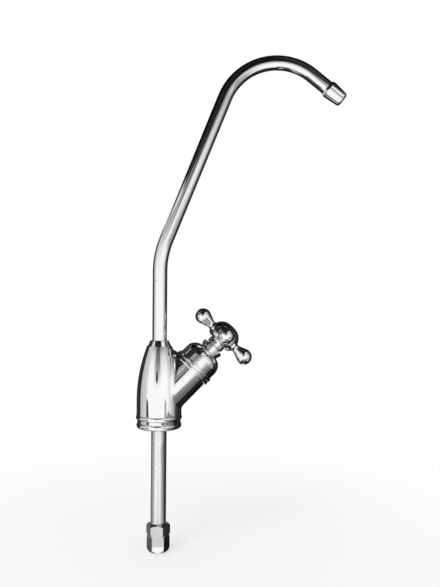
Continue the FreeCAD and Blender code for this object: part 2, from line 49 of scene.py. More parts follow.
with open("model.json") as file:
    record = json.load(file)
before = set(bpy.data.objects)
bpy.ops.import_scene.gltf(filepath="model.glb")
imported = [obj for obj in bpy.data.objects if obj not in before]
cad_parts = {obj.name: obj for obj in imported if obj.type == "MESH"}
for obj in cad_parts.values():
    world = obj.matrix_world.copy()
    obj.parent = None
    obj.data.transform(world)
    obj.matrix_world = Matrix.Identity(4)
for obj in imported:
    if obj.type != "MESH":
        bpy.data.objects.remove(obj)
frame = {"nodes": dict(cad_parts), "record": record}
cad_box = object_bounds()
nodes = frame["nodes"]

MM = 0.001
SIDES = 144
ROUGH_SIDES = 72
ARM_SIDES = 48
ARC_STEP = radians(5)

# Places closer than SAME, or equal to KEY_DIGITS digits, count as one. TIE lets the squarer of two
# equal gaps win, and TINY keeps a division from a zero.
SAME = 1e-6
KEY_DIGITS = 7
TIE = 1e-7
TINY = 1e-9

# An arc takes nearly all of the corner that it rounds off, and two directions that are blended are
# nowhere quite alike
FULL_ARC = 0.999
MOST_ALIKE = 0.999

# A skin is laid on its field in this many rounds, and a cut takes points this close as lying on its plane
SETTLING = 8
PLANE_GRIP = 1e-5

# Outward normals of flat bands, as (r, z). FLAT is the side of a hexagon.
UP = (0.0, 1.0)
DOWN = (0.0, -1.0)
INWARD = (-1.0, 0.0)
OUTWARD = (1.0, 0.0)
FLAT = "flat"

# Body casting
body_radius = 16.0
body_height = 58.4
body_taper_from = 20.0
shoulder_radius = 8.9
bead_radius = 16.4
bead_low = 6.2
bead_high = 9.6
bead_low_round = 1.5
bead_high_round = 1.3
body_neck_radius = 15.5
body_foot_round = 0.3
underside_radius = 12.6
mouth_radius = 7.95
body_voxel = 0.42
body_seam_over_bead = 0.9
body_seam_under_top = 0.6

# Foot ring
foot_radius = 16.0
foot_height = 4.1
foot_low_round = 2.0
foot_high_round = 1.6
foot_bore = 5.8
foot_seal_inner = 10.8
foot_seal_width = 2.6
foot_seal_height = 1.6

# Threaded shank, 7/16 in with 24 threads per inch, and its nuts
shank_radius = 5.55
shank_foot = -82.0
shank_top = 15.0
shank_end_chamfer = 0.5
waterway_radius = 3.0
shank_mouth_radius = 4.4
shank_mouth_depth = 2.0
thread_pitch = 25.4 / 24
thread_depth = 0.06
thread_groove = 0.36
nut_bore = 5.6
mounting_nut_flats = 15.0
mounting_nut_low = -75.75
mounting_nut_height = 8.5
mounting_nut_turn = -13.0
compression_nut_flats = 14.3
compression_nut_low = -88.1
compression_nut_height = 12.3
compression_nut_turn = -6.5
nut_chamfer_lean = 38.0
nut_face_inset = 1.4
nut_end_round = 3.8
nut_corner_round = 0.45
nut_face_share = 0.985
nut_face_columns = 13
nut_corner_steps = 5
nut_arc_steps = 8
supply_bore = 3.25
supply_lip = 0.3
ferrule_cone_top = -84.0
ferrule_cone_foot = -86.075
ferrule_cone_way = (-0.7, 0.7)

# Valve branch, measured along its own axis from the Z axis
branch_lean = 45.0
branch_height = 18.5
branch_radius = 14.0
branch_length = 34.2
branch_bead_radius = 15.3
branch_bead_width = 2.7
branch_bead_round = 0.8
branch_blend = 5.0
branch_overrun = 9.0
branch_cut_under_bead = 0.5

# Bonnet and its nut
bonnet_radius = 14.3
bonnet_taper = 0.1
bonnet_top = 50.4
bonnet_crown_round = 8.3
bonnet_wall = 1.6
bonnet_bead_width = 2.8
bonnet_hole = 5.7
bonnet_nut_radius = 8.3
bonnet_nut_neck_radius = 7.6
bonnet_nut_neck = 1.5
bonnet_nut_height = 4.5
bonnet_nut_round = 0.5
bonnet_nut_roof = 1.7
bonnet_nut_boss_radius = 5.4
bonnet_nut_boss = 0.85
bonnet_nut_thread = 5.65
bonnet_nut_hole = 4.3

# Cross handle
skirt_low = 55.9
skirt_radius = 6.5
skirt_round = 0.7
hub_low = 59.3
hub_top = 75.2
hub_radius = 11.4
hub_crown_round = 9.2
hub_low_round = 4.2
hub_floor_drop = 1.2
hub_blend_low = 59.55
hub_blend_high = 71.8
arm_axis = 65.6
arm_turn = -7.0
arm_neck_radius = 2.9
arm_neck_at = 12.4
arm_root_radius = 3.6
arm_bulb_radius = 5.85
arm_bulb_at = 20.75
arm_root_blend = 1.6
cap_radius = 4.4
cap_gap = 0.05
cap_thickness = 2.6
recess_depth = 2.2
recess_radius = 5.0
spindle_half = 2.95
skirt_overlap = 0.05
hub_wall_margin = 0.1
handle_voxel = 0.34

# Spout, tip and collar
spout_rest_turn = -10.0
tube_radius = 5.2
tube_wall = 1.0
spout_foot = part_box("spout_tube")[0].z / MM
spout_bend_height = 123.5
spout_bend_radius = 60.0
spout_lean = 22.0
spout_run = 121.4
arch_radius = 40.0
outlet_dip = 39.0
spout_end_run = 19.8
spout_bend_steps = 24
arch_steps = 72
tip_radius = 6.4
tip_length = 14.4
tip_over_tube = 6.0
tip_mouth_lip = 0.35
tip_end_radius = 5.1
tip_shoulder_round = 2.0
tip_end_round = 2.0
tip_bore = 3.25
braze_gap = 0.03
collar_bore = 5.3
collar_radius = 8.35
collar_height = 4.1
collar_top_radius = 6.4
collar_round = 0.6

# The camera stands level and square to the spout, and is rolled by the photograph's tilt
view_turn = 10.0
view_distance = 480.0
view_right = 42.9
view_height = 96.1
view_roll = 0.42
focal_pixels = 672.0
picture_height_pixels = 587.0
sensor_size = 36.0
nearest_seen = 0.01


def unit(way):
    return way / np.linalg.norm(way)


def turn_about_y(angle):
    return np.array([[cos(angle), 0, sin(angle)], [0, 1, 0], [-sin(angle), 0, cos(angle)]])


def turn_about_z(angle):
    return np.array([[cos(angle), -sin(angle), 0], [sin(angle), cos(angle), 0], [0, 0, 1]])


class Placing:
    """A turn and a move that carry a shape from its own frame to the part's."""

    def __init__(self, turn, move=(0, 0, 0)):
        self.turn = np.asarray(turn, float)
        self.move = np.asarray(move, float)

    def points(self, points):
        return points @ self.turn.T + self.move

    def directions(self, directions):
        return directions @ self.turn.T

    def local(self, points):
        return (points - self.move) @ self.turn


UPRIGHT = Placing(np.eye(3))
ON_BRANCH = Placing(turn_about_y(radians(branch_lean)), (0, 0, branch_height))
ON_SPOUT = Placing(turn_about_z(radians(spout_rest_turn)))


# Profiles

def rounded(corners):
    """Lines and arcs of a closed profile from (r, z) or (r, z, rounding) corners.
    A line is (start, end, None, 0), and an arc adds its centre and its turn, positive to the left."""
    count = len(corners)
    points = [np.array(c[:2], float) for c in corners]
    rounds = [c[2] if len(c) > 2 else 0 for c in corners]
    arcs = []
    for i in range(count):
        before = unit(points[i - 1] - points[i])
        after = unit(points[(i + 1) % count] - points[i])
        if rounds[i] == 0:
            arcs.append((points[i], points[i], None, 0))
            continue
        half = np.arccos(np.clip(before @ after, -1, 1)) / 2
        reach = rounds[i] / tan(half)
        centre = points[i] + unit(before + after) * rounds[i] / sin(half)
        left = before[0] * after[1] - before[1] * after[0] < 0
        turn = (pi - 2 * half) * (1 if left else -1)
        arcs.append((points[i] + before * reach, points[i] + after * reach, centre, turn))
    pieces = []
    for i in range(count):
        if arcs[i][2] is not None:
            pieces.append(arcs[i])
        start = arcs[i][1]
        end = arcs[(i + 1) % count][0]
        if np.linalg.norm(end - start) > SAME:
            pieces.append((start, end, None, 0))
    return pieces


def line_normal(start, end):
    along = unit(end - start)
    return np.array([along[1], -along[0]])


def flat_step(start, end):
    return start, end, line_normal(start, end), line_normal(start, end)


def sampled(pieces):
    """Steps of a profile: two points and the outward normal at each."""
    steps = []
    for start, end, centre, turn in pieces:
        if centre is None:
            steps.append(flat_step(start, end))
            continue
        count = max(3, ceil(abs(turn) / ARC_STEP))
        radius = np.linalg.norm(start - centre)
        side = 1 if turn > 0 else -1
        first = np.arctan2(start[1] - centre[1], start[0] - centre[0])
        angles = [first + turn * k / count for k in range(count + 1)]
        spokes = [np.array([cos(angle), sin(angle)]) for angle in angles]
        for a, b in zip(spokes, spokes[1:]):
            steps.append((centre + a * radius, centre + b * radius, a * side, b * side))
    return steps


# Meshes

def add_object(name, data):
    made = bpy.data.objects.new(name, data)
    bpy.context.scene.collection.objects.link(made)
    return made


class Shape:
    """Points, faces and the exact normal at each corner of each face."""

    def __init__(self):
        self.points = []
        self.faces = []
        self.normals = []

    def add(self, points, faces, normals, placing=UPRIGHT):
        base = len(self.points)
        self.points.extend(placing.points(np.asarray(points, float)).tolist())
        self.faces.extend([[base + i for i in face] for face in faces])
        self.normals.extend(placing.directions(np.asarray(normals, float)).tolist())

    def add_smooth(self, points, faces, normals, placing=UPRIGHT):
        """Faces whose corners take one normal per point."""
        self.add(points, faces, [normals[i] for face in faces for i in face], placing)

    def piece(self, name, body, node, slot="polished_chrome"):
        """A Blender object of the shape, which rides on a body and stands for a CAD node."""
        mesh = bpy.data.meshes.new(name)
        mesh.from_pydata((np.array(self.points) * MM).tolist(), [], self.faces)
        mesh.polygons.foreach_set("use_smooth", [True] * len(mesh.polygons))
        mesh.normals_split_custom_set(self.normals)
        mesh.materials.append(finishes[slot])
        made = add_object(name, mesh)
        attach(made, body)
        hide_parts(node)


def lathe(shape, steps, placing=UPRIGHT, sides=SIDES):
    """Turn the steps of a profile about Z. Steps that meet share their ring of points."""
    angles = np.arange(sides) * 2 * pi / sides
    round_cos = np.cos(angles)
    round_sin = np.sin(angles)
    level = np.zeros(sides)
    points = []
    rings = {}
    faces = []
    normals = []

    def ring(place):
        key = tuple(np.round(place, KEY_DIGITS))
        if key not in rings:
            start = len(points)
            if place[0] < SAME:
                points.append([0.0, 0.0, place[1]])
                rings[key] = [start] * sides
            else:
                points.extend(np.stack([place[0] * round_cos, place[0] * round_sin, place[1] + level], 1))
                rings[key] = list(range(start, start + sides))
        return rings[key]

    for start, end, start_normal, end_normal in steps:
        if max(start[0], end[0]) < SAME:
            continue
        low = ring(start)
        high = ring(end)
        for i in range(sides):
            j = (i + 1) % sides
            corners = [
                (low[i], i, start_normal), (low[j], j, start_normal),
                (high[j], j, end_normal), (high[i], i, end_normal),
            ]
            if low[i] == low[j]:
                corners.pop(0)
            elif high[i] == high[j]:
                corners.pop(3)
            faces.append([c[0] for c in corners])
            normals.extend([[n[0] * round_cos[k], n[0] * round_sin[k], n[1]] for _, k, n in corners])
    shape.add(points, faces, normals, placing)


def turned(shape, corners, placing=UPRIGHT):
    lathe(shape, sampled(rounded(corners)), placing)


def turned_piece(name, body, node, corners, placing=UPRIGHT):
    shape = Shape()
    turned(shape, corners, placing)
    shape.piece(name, body, node)


def grid(shape, points, normals, placing=UPRIGHT):
    """A surface from rows of points that each close on themselves, with one normal per point."""
    rows, columns = points.shape[:2]
    faces = []
    for i in range(rows - 1):
        low = i * columns
        high = low + columns
        for j in range(columns):
            k = (j + 1) % columns
            faces.append([low + j, low + k, high + k, high + j])
    shape.add_smooth(points.reshape(-1, 3), faces, normals.reshape(-1, 3), placing)


# Blended castings: distance fields of turned pieces, joined by a rolling-ball blend

def profile_field(pieces, flat):
    """Signed distance from a profile, and its direction, at points of the (r, z) plane."""
    best = np.full(len(flat), np.inf)
    squarest = np.zeros(len(flat))
    distance = np.zeros(len(flat))
    direction = np.zeros((len(flat), 2))
    for start, end, centre, turn in pieces:
        if centre is None:
            along = unit(end - start)
            outward = line_normal(start, end)
            reach = np.clip((flat - start) @ along, 0, np.linalg.norm(end - start))
            offset = flat - start - reach[:, None] * along
            gap = np.linalg.norm(offset, axis=1)
            height = (flat - start) @ outward
            side = np.sign(height)
            square = np.abs(height)
            way = offset / np.maximum(gap, TINY)[:, None] * side[:, None]
            way = np.where(gap[:, None] > TINY, way, outward)
        else:
            radius = np.linalg.norm(start - centre)
            spoke = flat - centre
            far = np.linalg.norm(spoke, axis=1)
            facing = spoke @ unit((start + end) / 2 - centre) / np.maximum(far, TINY)
            inside = facing >= cos(abs(turn) / 2) - TINY
            gap = np.where(inside, np.abs(far - radius), np.inf)
            square = gap
            sense = 1 if turn > 0 else -1
            side = np.sign(far - radius) * sense
            way = spoke / np.maximum(far, TINY)[:, None] * sense
        better = (gap < best - TIE) | ((gap < best + TIE) & (square > squarest))
        best = np.where(better, gap, best)
        squarest = np.where(better, square, squarest)
        distance = np.where(better, gap * side, distance)
        direction = np.where(better[:, None], way, direction)
    return distance, direction


def turned_field(pieces, placing):
    """The distance field of a turned piece that has been placed."""
    def field(points):
        local = placing.local(points)
        radius = np.hypot(local[:, 0], local[:, 1])
        distance, direction = profile_field(pieces, np.stack([radius, local[:, 2]], 1))
        outward = direction[:, 0] / np.maximum(radius, TINY)
        way = np.stack([outward * local[:, 0], outward * local[:, 1], direction[:, 1]], 1)
        return distance, placing.directions(way)
    return field


def blended(first, second, radius):
    """Union of two fields with a ball of the given radius rolled along the valley between them."""
    def field(points):
        gap_a, way_a = first(points)
        gap_b, way_b = second(points)
        nearer = gap_a <= gap_b
        distance = np.where(nearer, gap_a, gap_b)
        direction = np.where(nearer[:, None], way_a, way_b)
        short_a = radius - gap_a
        short_b = radius - gap_b
        lean = np.clip(np.sum(way_a * way_b, 1), -MOST_ALIKE, MOST_ALIKE)
        share_a = (short_a - lean * short_b) / (1 - lean ** 2)
        share_b = (short_b - lean * short_a) / (1 - lean ** 2)
        valley = (share_a > 0) & (share_b > 0) & (short_a > 0) & (short_b > 0)
        to_centre = share_a[:, None] * way_a + share_b[:, None] * way_b
        reach = np.maximum(np.linalg.norm(to_centre, axis=1), TINY)
        distance = np.where(valley, radius - reach, distance)
        direction = np.where(valley[:, None], to_centre / reach[:, None], direction)
        return distance, direction
    return field


def nearest_of(fields):
    def field(points):
        distance, direction = fields[0](points)
        for other in fields[1:]:
            gap, way = other(points)
            closer = gap < distance
            distance = np.where(closer, gap, distance)
            direction = np.where(closer[:, None], way, direction)
        return distance, direction
    return field


def even_skin(rough, voxel):
    """One even mesh round the overlapping closed shapes of a rough one, in millimetres."""
    mesh = bpy.data.meshes.new("rough")
    mesh.from_pydata(rough.points, [], rough.faces)
    holder = add_object("rough", mesh)
    remesh = holder.modifiers.new("even", "REMESH")
    remesh.mode = "VOXEL"
    remesh.voxel_size = voxel
    remesh.adaptivity = 0
    graph = bpy.context.evaluated_depsgraph_get()
    skin = bpy.data.meshes.new_from_object(holder.evaluated_get(graph))
    bpy.data.objects.remove(holder)
    bpy.data.meshes.remove(mesh)
    return skin


def cut_away(skin, planes, past):
    """Remove what lies past each (point, outward direction) plane, and faces that reach a past point."""
    work = bmesh.new()
    work.from_mesh(skin)
    for point, outward in planes:
        geometry = [*work.verts, *work.edges, *work.faces]
        bmesh.ops.bisect_plane(
            work, geom=geometry, dist=PLANE_GRIP, plane_co=point, plane_no=outward, clear_outer=True)
    if past:
        gone = [face for face in work.faces if any(past(corner.co) for corner in face.verts)]
        bmesh.ops.delete(work, geom=gone, context="FACES")
    work.to_mesh(skin)
    work.free()


def vertex_places(mesh):
    points = np.empty(len(mesh.vertices) * 3)
    mesh.vertices.foreach_get("co", points)
    return points.reshape(-1, 3)


def cast_skin(shape, rough, field, voxel, planes, past=None):
    """Lay an even skin exactly on a field, cut it at planes and give it the field's own normals."""
    skin = even_skin(rough, voxel)
    points = vertex_places(skin)
    for _ in range(SETTLING):
        distance, direction = field(points)
        points = points - np.clip(distance, -voxel, voxel)[:, None] * direction
    skin.vertices.foreach_set("co", points.reshape(-1))
    cut_away(skin, planes, past)
    points = vertex_places(skin)
    shape.add_smooth(points, [list(polygon.vertices) for polygon in skin.polygons], field(points)[1])
    bpy.data.meshes.remove(skin)


# Materials

WHITE = (1, 1, 1, 1)
NOISE_LOW = 0.3
NOISE_HIGH = 0.7


class Nodes:
    """Short calls for a node tree."""

    def __init__(self, tree):
        self.tree = tree
        tree.nodes.clear()

    def make(self, kind, inputs=(), **settings):
        node = self.tree.nodes.new(kind)
        for key, value in settings.items():
            setattr(node, key, value)
        for key, value in dict(inputs).items():
            if isinstance(value, bpy.types.NodeSocket):
                self.tree.links.new(value, node.inputs[key])
            else:
                node.inputs[key].default_value = value
        return node

    def math(self, operation, *values):
        return self.make("ShaderNodeMath", enumerate(values), operation=operation).outputs[0]

    def times(self, first, *others):
        for other in others:
            first = self.math("MULTIPLY", first, other)
        return first

    def along(self, place, way):
        """How far a place lies along a direction."""
        inputs = {0: place, 1: tuple(way)}
        return self.make("ShaderNodeVectorMath", inputs, operation="DOT_PRODUCT").outputs["Value"]

    def step(self, value, low, high, start=0.0, end=1.0):
        """A smooth step from start to end as the value goes from low to high."""
        limits = {"Value": value, "From Min": low, "From Max": high, "To Min": start, "To Max": end}
        return self.make("ShaderNodeMapRange", limits, interpolation_type="SMOOTHSTEP").outputs["Result"]

    def mix(self, share, first, second):
        return self.make("ShaderNodeMix", {0: share, 2: first, 3: second}, data_type="FLOAT").outputs[0]

    def here(self):
        return self.make("ShaderNodeTexCoord").outputs["Object"]

    def length(self, first, second):
        squares = [self.math("POWER", value, 2.0) for value in (first, second)]
        return self.math("SQRT", self.math("ADD", *squares))

    def seen_by(self, first, *others):
        """1 for rays of any of the given kinds."""
        path = self.make("ShaderNodeLightPath").outputs
        seen = path[first]
        for other in others:
            seen = self.math("MAXIMUM", seen, path[other])
        return seen

    def window(self, value, low, high, edge):
        """1 between low and high, and 0 outside, with soft edges."""
        opens = self.step(value, low - edge, low + edge)
        return self.times(opens, self.step(value, high - edge, high + edge, 1.0, 0.0))

    def ramp(self, value, colours):
        """Colour by a value from 0 to 1, through (value, colour) pairs."""
        node = self.make("ShaderNodeValToRGB", {"Fac": value})
        stops = node.color_ramp.elements
        while len(stops) < len(colours):
            stops.new(0.5)
        for stop, (place, colour) in zip(stops, colours):
            stop.position = place
            stop.color = (*colour, 1)
        return node.outputs["Color"]

    def light_by(self, value, light_at):
        """Light by a value, through (value, light) pairs."""
        low = light_at[0][0]
        span = light_at[-1][0] - low
        share = self.math("DIVIDE", self.math("SUBTRACT", value, low), span)
        greys = self.ramp(share, [((place - low) / span, [light] * 3) for place, light in light_at])
        return self.make("ShaderNodeSeparateColor", {"Color": greys}).outputs["Red"]

    def noise(self, place, scale, detail=3.0, roughness=0.5, seed=0.0):
        inputs = {"Vector": place, "W": seed, "Scale": scale, "Detail": detail, "Roughness": roughness}
        return self.make("ShaderNodeTexNoise", inputs, noise_dimensions="4D").outputs["Fac"]

    def place(self, scale=(1, 1, 1)):
        """The place in the part's own frame, stretched by the given scale."""
        return self.make("ShaderNodeMapping", {"Vector": self.here(), "Scale": scale}).outputs["Vector"]

    def bump(self, height, strength, distance):
        inputs = {"Height": height, "Strength": strength, "Distance": distance}
        return self.make("ShaderNodeBump", inputs).outputs["Normal"]

    def surface(self, inputs, kind="ShaderNodeBsdfPrincipled"):
        self.make("ShaderNodeOutputMaterial", {"Surface": self.make(kind, inputs).outputs[0]})

    def glow(self, light):
        self.surface({"Color": WHITE, "Strength": light}, "ShaderNodeEmission")

    def metal(self, shade, dark, light, gloss, height, strength=0.3, depth=0.0001,
              shade_to=NOISE_HIGH, gloss_to=NOISE_HIGH):
        """Bare metal, whose tint and gloss go from dark to light with a noise called its shade."""
        self.surface({
            "Base Color": self.ramp(shade, [(NOISE_LOW, dark), (shade_to, light)]),
            "Metallic": 1.0,
            "Roughness": self.step(shade, NOISE_LOW, gloss_to, *gloss),
            "Normal": self.bump(height, strength, depth),
        })


def new_material(name):
    material = bpy.data.materials.new(name)
    material.use_nodes = True
    return material, Nodes(material.node_tree)


def make_polished_chrome():
    """Bright plate: faint smears in the gloss and a very slight wave from the casting's polish."""
    material, n = new_material("polished_chrome")
    smears = n.noise(n.place((1, 1, 0.6)), scale=210.0, detail=4.0, roughness=0.6)
    wave = n.noise(n.place(), scale=90.0, detail=1.5, roughness=0.4, seed=3.0)
    n.metal(smears, (0.92, 0.922, 0.925), (0.96, 0.96, 0.96), (0.025, 0.07), wave,
            strength=0.12, depth=0.00012, gloss_to=0.75)
    return material


def make_satin_chrome():
    """Plating over machined metal: grey, with fine tool marks round the axis and a patchy bloom."""
    material, n = new_material("satin_chrome")
    marks = n.noise(n.place((1, 1, 14)), scale=420.0, detail=3.0, roughness=0.6)
    bloom = n.noise(n.place(), scale=330.0, detail=4.0, roughness=0.65, seed=5.0)
    height = n.math("ADD", n.times(marks, 0.6), bloom)
    n.metal(bloom, (0.88, 0.88, 0.88), (0.96, 0.96, 0.955), (0.17, 0.1), height,
            strength=0.06, shade_to=0.68, gloss_to=0.75)
    return material


def make_brass():
    """Turned brass with fine rings from the tool and a little darker tarnish."""
    material, n = new_material("brass")
    marks = n.noise(n.place((30, 1, 30)), scale=160.0, detail=2.0)
    tarnish = n.noise(n.place(), scale=260.0, detail=4.0, roughness=0.6, seed=2.0)
    n.metal(tarnish, (0.60, 0.40, 0.15), (0.86, 0.64, 0.30), (0.36, 0.22), marks)
    return material


def make_stainless_steel():
    """Turned stainless steel with brushed lines."""
    material, n = new_material("stainless_steel")
    marks = n.noise(n.place((2, 60, 2)), scale=240.0, detail=2.0)
    n.metal(marks, (0.50, 0.50, 0.49), (0.68, 0.67, 0.66), (0.24, 0.36), marks)
    return material


def make_moulded(name, dark, light, gloss, grain_scale, grain_height):
    """A moulded or fired material with slight mottling and a fine surface grain."""
    material, n = new_material(name)
    mottle = n.noise(n.place(), scale=180.0)
    grain = n.noise(n.place(), grain_scale, roughness=0.6, seed=4.0)
    n.surface({
        "Base Color": n.ramp(mottle, [(NOISE_LOW, dark), (NOISE_HIGH, light)]),
        "Roughness": n.step(grain, 0.25, 0.75, gloss, gloss + 0.16),
        "Normal": n.bump(grain, 0.35, grain_height),
    })
    return material


finishes = {
    "polished_chrome": make_polished_chrome(),
    "satin_chrome": make_satin_chrome(),
    "brass": make_brass(),
    "stainless_steel": make_stainless_steel(),
}
for moulded in [
    ("black_rubber", (0.012, 0.012, 0.013), (0.026, 0.026, 0.027), 0.5, 900.0, 0.00006),
    ("white_nylon", (0.74, 0.73, 0.69), (0.82, 0.81, 0.78), 0.4, 700.0, 0.00004),
    ("white_ceramic", (0.78, 0.78, 0.76), (0.86, 0.86, 0.85), 0.12, 1200.0, 0.00002),
    ("grey_plastic", (0.30, 0.31, 0.32), (0.38, 0.39, 0.40), 0.38, 800.0, 0.00004),
]:
    finishes[moulded[0]] = make_moulded(*moulded)


def dress_cad_nodes():
    """Give the CAD nodes that stay the finish of their own slot."""
    for part in frame["record"]["subparts"]:
        holder = nodes[part["node"]]
        if not holder.data.materials:
            holder.data.materials.append(finishes[part["material_slot"]])
        for place in holder.material_slots:
            place.material = finishes[part["material_slot"]]


# Pieces

def wall_of(profile, radius):
    """The parts of a profile that reach past a radius, so not those that close it on the axis."""
    return [p for p in profile if max(p[0][0], p[1][0]) > radius]


def make_body():
    """Bullet-shaped casting, with the leaning branch blended into it, and the bead and collars."""
    drop = body_radius - shoulder_radius
    rise = body_height - body_taper_from
    side_round = (rise * rise + drop * drop) / (2 * drop)
    side_corner = body_taper_from + side_round * tan(asin(rise / side_round) / 2)
    bullet = rounded([
        (0, bead_low), (body_radius, bead_low), (body_radius, side_corner, side_round * FULL_ARC),
        (shoulder_radius, body_height), (0, body_height),
    ])
    branch_end = branch_length + branch_overrun
    branch = rounded([(0, 0), (branch_radius, 0), (branch_radius, branch_end), (0, branch_end)])
    near_axis = 1.0
    level = 0.01
    side_wall = [
        p for p in bullet if min(p[0][0], p[1][0]) > near_axis and abs(p[0][1] - p[1][1]) > level]
    branch_field = turned_field(wall_of(branch, near_axis), ON_BRANCH)
    field = blended(turned_field(side_wall, UPRIGHT), branch_field, branch_blend)
    rough = Shape()
    lathe(rough, sampled(bullet), UPRIGHT, ROUGH_SIDES)
    lathe(rough, sampled(branch), ON_BRANCH, ROUGH_SIDES)
    shape = Shape()
    blend_low = bead_high + body_seam_over_bead
    blend_high = body_height - body_seam_under_top
    cast_skin(shape, rough, field, body_voxel, [
        ((0, 0, blend_low), (0, 0, -1)),
        ((0, 0, blend_high), (0, 0, 1)),
    ], past_branch)
    centre = np.array([body_radius - side_round, body_taper_from])
    low_corner, top_corner = [
        np.array([side_radius(centre, side_round, height), height]) for height in (blend_high, body_height)]
    low_normal = (low_corner - centre) / side_round
    top_normal = (top_corner - centre) / side_round
    lathe(shape, [(low_corner, top_corner, low_normal, top_normal)])
    lathe(shape, [(top_corner, (mouth_radius, body_height), UP, UP)])
    turned(shape, [
        (underside_radius, foot_height), (body_neck_radius, foot_height, body_foot_round),
        (body_neck_radius, bead_low), (bead_radius, bead_low, bead_low_round),
        (bead_radius, bead_high, bead_high_round), (body_radius, bead_high), (body_radius, blend_low),
        (underside_radius, blend_low),
    ])
    bead_foot = branch_length - branch_bead_width
    inner = bonnet_radius - bonnet_wall
    turned(shape, [
        (inner, bead_foot), (branch_bead_radius, bead_foot, branch_bead_round),
        (branch_bead_radius, branch_length, branch_bead_round), (inner, branch_length),
    ], ON_BRANCH)
    shape.piece("tap_body", "valve", "valve_body")


def side_radius(centre, side_round, height):
    return centre[0] + sqrt(side_round ** 2 - (height - centre[1]) ** 2)


def past_branch(point):
    """Whether a point of the casting's branch lies past the foot of its bead."""
    x, y, z = ON_BRANCH.local(np.array(point))
    return z > branch_length - branch_cut_under_bead and hypot(x, y) < branch_bead_radius


def make_base_ring():
    seal_outer = foot_seal_inner + foot_seal_width
    turned_piece("foot_ring", "valve", "base_ring", [
        (foot_bore, 0), (foot_seal_inner, 0), (foot_seal_inner, foot_seal_height),
        (seal_outer, foot_seal_height), (seal_outer, 0), (foot_radius, 0, foot_low_round),
        (foot_radius, foot_height, foot_high_round), (foot_bore, foot_height),
    ])


def make_shank():
    """Tube with a real helical thread, and its mouth opened to a cone."""
    columns = 60
    rows_per_turn = 10
    low = shank_foot
    high = shank_top
    rows = ceil((high - low) / thread_pitch * rows_per_turn) + rows_per_turn
    fall = shank_radius - shank_end_chamfer
    turn = np.arange(columns + 1) / columns
    row = np.arange(rows)[:, None]
    height = np.clip(low + (row / rows_per_turn - 1 + turn) * thread_pitch, low, high)
    across = np.clip((row % rows_per_turn / rows_per_turn - 0.5) / thread_groove, -1, 1)
    depth = thread_depth / 2 * (1 + np.cos(pi * across))
    slope = -thread_depth / 2 * np.sin(pi * across) * pi / (thread_groove * thread_pitch)
    radius = np.minimum(shank_radius - depth, fall + np.minimum(height - low, high - height))
    round_cos = np.cos(2 * pi * turn)
    round_sin = np.sin(2 * pi * turn)
    points = np.stack([radius * round_cos, radius * round_sin, height], 2).reshape(-1, 3)
    normals = np.stack(np.broadcast_arrays(round_cos, round_sin, slope), 2).reshape(-1, 3)
    normals /= np.linalg.norm(normals, axis=1)[:, None]
    faces = []
    for i in range(rows - 1):
        for j in range(columns):
            a = i * (columns + 1) + j
            b = a + columns + 1
            if min(points[b][2] - points[a][2], points[b + 1][2] - points[a + 1][2]) >= SAME:
                faces.append([a, a + 1, b + 1, b])
    shape = Shape()
    shape.add_smooth(points, faces, normals)
    inside = [np.array(corner) for corner in (
        (fall, high), (waterway_radius, high), (waterway_radius, low + shank_mouth_depth),
        (shank_mouth_radius, low), (fall, low),
    )]
    lathe(shape, [flat_step(a, b) for a, b in zip(inside, inside[1:])], sides=ROUGH_SIDES)
    shape.piece("threaded_tube", "valve", "threaded_shank", "satin_chrome")


def hexagon_columns(flats, turn):
    """Places and normals round a hexagon whose corners are slightly rounded."""
    half_side = flats / 2 * tan(pi / 6)
    straight = half_side - nut_corner_round * tan(pi / 6)
    columns = []
    for k in range(6):
        facing = radians(turn) + pi / 6 + k * pi / 3
        normal = np.array([cos(facing), sin(facing)])
        along = np.array([-sin(facing), cos(facing)])
        for share in np.linspace(-1, 1, nut_face_columns):
            columns.append((normal * flats / 2 + along * straight * share, normal))
        centre = normal * (flats / 2 - nut_corner_round) + along * straight
        for step in range(1, nut_corner_steps):
            spoke = facing + pi / 3 * step / nut_corner_steps
            outward = np.array([cos(spoke), sin(spoke)])
            columns.append((centre + outward * nut_corner_round, outward))
    return columns


def make_nut(name, node, flats, turn, bands_of):
    """A hexagon nut. bands_of gives the bands of a column that stands a distance from the axis. Each is
    (r, z, normal), or (r, z, normal, normal at its other end), and runs on to the next."""
    columns = hexagon_columns(flats, turn)
    points = []
    normals = []
    for place, facing in columns:
        reach = hypot(*place)
        for r, z, *ways in bands_of(reach):
            points.append([*(place / reach * r), z])
            both = [[*facing, 0.0] if way == FLAT else [*(place / reach * way[0]), way[1]] for way in ways]
            normals.append((both[0], both[-1]))
    bands = len(points) // len(columns)
    faces = []
    corner_normals = []
    for j in range(len(columns)):
        k = (j + 1) % len(columns)
        for i in range(bands):
            a = j * bands + i
            b = k * bands + i
            up = (i + 1) % bands
            faces.append([a, b, k * bands + up, j * bands + up])
            corner_normals.extend([normals[a][0], normals[b][0], normals[b][1], normals[a][1]])
    shape = Shape()
    shape.add(points, faces, corner_normals)
    shape.piece(name, "valve", node, "satin_chrome")


def make_mounting_nut():
    low = mounting_nut_low
    high = low + mounting_nut_height
    low_face = mounting_nut_flats / 2 * nut_face_share
    high_face = mounting_nut_flats / 2 - nut_face_inset
    lean = radians(nut_chamfer_lean)

    def bands_of(reach):
        return [
            (nut_bore, low, DOWN), (low_face, low, (sin(lean), -cos(lean))),
            (reach, low + (reach - low_face) * tan(lean), FLAT),
            (reach, high - (reach - high_face) * tan(lean), (sin(lean), cos(lean))),
            (high_face, high, UP), (nut_bore, high, INWARD),
        ]

    make_nut("counter_nut", "mounting_nut", mounting_nut_flats, mounting_nut_turn, bands_of)


